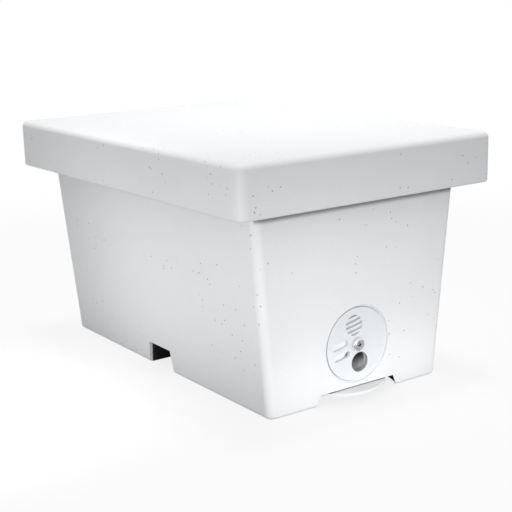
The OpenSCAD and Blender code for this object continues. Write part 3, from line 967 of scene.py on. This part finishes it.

# %% [markdown]
# ### Moulded plastics
#
# The discs and the grid are a cool satin white, the tub is a softer, slightly warmer one, and the posts are
# grey. All have a very fine moulding grain, a slow change of gloss, and painted shade in their slots, holes
# and gaps, where Ambient Occlusion finds them closed in. On the entrance disc only the open hole gets this
# painted shade, because the photograph shows its other slots light; on the floor disc it is a painted
# shadow in the narrow corner where the wall stands over it.

# %% Plastic finishes
def moulded_plastic(name, light, dark, gloss, nook_shade, nook_size=(5 * MM, 0.3, 0.65),
                    centre=(0, 0, 0), shade_reach=1.0):
    """A satin plastic with a slow change of tone, a fine grain, and painted shade in its nooks near a
    centre.
    """
    look, tree, shader, place = new_finish(name)
    cloud = add_node(tree, "ShaderNodeTexNoise", {"Vector": place}, Scale=45.0, Detail=2.0)
    tone = grade(tree, cloud.outputs["Fac"], 0.3, 0.7)
    clean = blend_colours(tree, tone, dark, light)
    away = add_node(tree, "ShaderNodeVectorMath", {0: place}, {"operation": "DISTANCE"})
    away.inputs[1].default_value = centre
    near = grade(tree, away.outputs["Value"], shade_reach, shade_reach + 1 * MM, 1.0, 0.0)
    # Painted shade: the colour darkens in nooks near the centre, where Ambient Occlusion finds them closed
    # in.
    nook = reckon(tree, "MULTIPLY", near, closed_in(tree, *nook_size))
    tree.links.new(blend_colours(tree, nook, clean, nook_shade), shader.inputs["Base Color"])
    sheen = grade(tree, cloud.outputs["Fac"], 0.3, 0.7, gloss, gloss + 0.08)
    tree.links.new(sheen, shader.inputs["Roughness"])
    grain = add_node(tree, "ShaderNodeTexNoise", {"Vector": place}, Scale=2600.0, Detail=1.0)
    bump(tree, shader, grain.outputs["Fac"], 0.08, 0.05 * MM)
    return look


# The dark colours below are painted shade in nooks: grey in general, near black in the entrance hole, and a
# painted shadow in the floor disc's corner under the wall.
COOL_LIGHT, COOL_DARK = (0.84, 0.86, 0.88), (0.81, 0.83, 0.85)
GREY_NOOK_SHADE = (0.40, 0.41, 0.42)
DARK_HOLE_SHADE = (0.06, 0.06, 0.06)
CORNER_SHADOW = (0.05, 0.05, 0.05)
WIDE_NOOK = (10 * MM, 0.5, 0.9)
NARROW_NOOK = (2.5 * MM, 0.45, 0.8)

open_hole = tuple(at_pivot @ disc_seat @ Vector((0, -STATION, DISC_T / 2)))
disc_white = moulded_plastic("disc_white", COOL_LIGHT, COOL_DARK, 0.34, DARK_HOLE_SHADE,
                             WIDE_NOOK, open_hole, ENTRANCE_R + 0.3 * MM)
grid_white = moulded_plastic("grid_white", COOL_LIGHT, COOL_DARK, 0.34, GREY_NOOK_SHADE)
floor_white = moulded_plastic("floor_white", (0.91, 0.92, 0.93), (0.88, 0.89, 0.90), 0.34,
                              CORNER_SHADOW, NARROW_NOOK)
# The tub's last colour is the painted shade in its nooks.
tub_white = moulded_plastic("tub_white", (0.84, 0.84, 0.80), (0.80, 0.80, 0.76), 0.42,
                            (0.60, 0.60, 0.57))
post_grey = moulded_plastic("post_grey", (0.70, 0.71, 0.72), (0.66, 0.67, 0.68), 0.45, GREY_NOOK_SHADE)
dress(disc_white, entrance_plate)
dress(grid_white, tub_grid)
dress(floor_white, floor_plate)
dress(tub_white, feed_tub)
dress(post_grey, nodes["entrance_post"], nodes["floor_post"])
print("plastics on the discs, the grid, the tub and the posts")

# %% [markdown]
# ### Bright steel
#
# The zinc-plated screws are mirror-like with fine turning marks, so the finish is metallic, smooth, and
# broken up only by a fine noise in its roughness and by painted shade in the cross.

# %% Steel finish
steel, tree, shader, place = new_finish("bright_steel")
marks = add_node(tree, "ShaderNodeTexNoise", {"Vector": place}, Scale=900.0, Detail=2.0)
tree.links.new(grade(tree, marks.outputs["Fac"], 0.3, 0.7, 0.14, 0.28), shader.inputs["Roughness"])
tone = grade(tree, marks.outputs["Fac"], 0.3, 0.7)
plated = blend_colours(tree, tone, (0.82, 0.83, 0.85), (0.90, 0.91, 0.92))
# Painted shade: the cross turns near black where Ambient Occlusion finds it closed in.
nook = closed_in(tree, 1.5 * MM, 0.3, 0.7)
tree.links.new(blend_colours(tree, nook, plated, (0.06, 0.06, 0.06)), shader.inputs["Base Color"])
set_shader(shader, Metallic=1.0)
dress(steel, bright_screw, nodes["floor_screw"])
print("steel on both screws")

# %% [markdown]
# ### Planed wood
#
# The bars are pale planed lime wood with the grain along their length. A noise stretched along X
# gives the grain lines, and a second, finer one the pores.

# %% Wood finish
wood, tree, shader, place = new_finish("planed_wood")
along = add_node(tree, "ShaderNodeMapping", {"Vector": place}, Scale=(6.0, 140.0, 140.0))
rings = add_node(tree, "ShaderNodeTexNoise", {"Vector": along.outputs["Vector"]},
                 Scale=1.6, Detail=5.0, Distortion=0.6)
grain = grade(tree, rings.outputs["Fac"], 0.32, 0.68)
fine = add_node(tree, "ShaderNodeMapping", {"Vector": place}, Scale=(40.0, 1400.0, 1400.0))
pores = add_node(tree, "ShaderNodeTexNoise", {"Vector": fine.outputs["Vector"]}, Scale=1.0, Detail=2.0)
pore_dark = grade(tree, pores.outputs["Fac"], 0.30, 0.42, 0.55, 0.0)
board = blend_colours(tree, grain, (0.58, 0.40, 0.22), (0.74, 0.57, 0.36))
tree.links.new(blend_colours(tree, pore_dark, board, (0.42, 0.27, 0.14)), shader.inputs["Base Color"])
set_shader(shader, Roughness=0.62, Specular_IOR_Level=0.3)
bump(tree, shader, rings.outputs["Fac"], 0.15, 0.2 * MM)
dress(wood, *wooden_bars)
print("wood on", len(wooden_bars), "bars")

# %% [markdown]
# ### Clear film
#
# The film is thin and clear with a slight haze. Alpha on the shader lets the bars show through, and
# a faint noise in the roughness keeps its gloss from looking like new glass.

# %% Film finish
film, tree, shader, place = new_finish("hazy_film")
haze = add_node(tree, "ShaderNodeTexNoise", {"Vector": place}, Scale=30.0, Detail=3.0)
tree.links.new(grade(tree, haze.outputs["Fac"], 0.3, 0.7, 0.08, 0.22), shader.inputs["Roughness"])
set_shader(shader, Base_Color=(0.86, 0.91, 0.93, 1), Alpha=0.28)
dress(film, cover_film)
print("film on the cover")
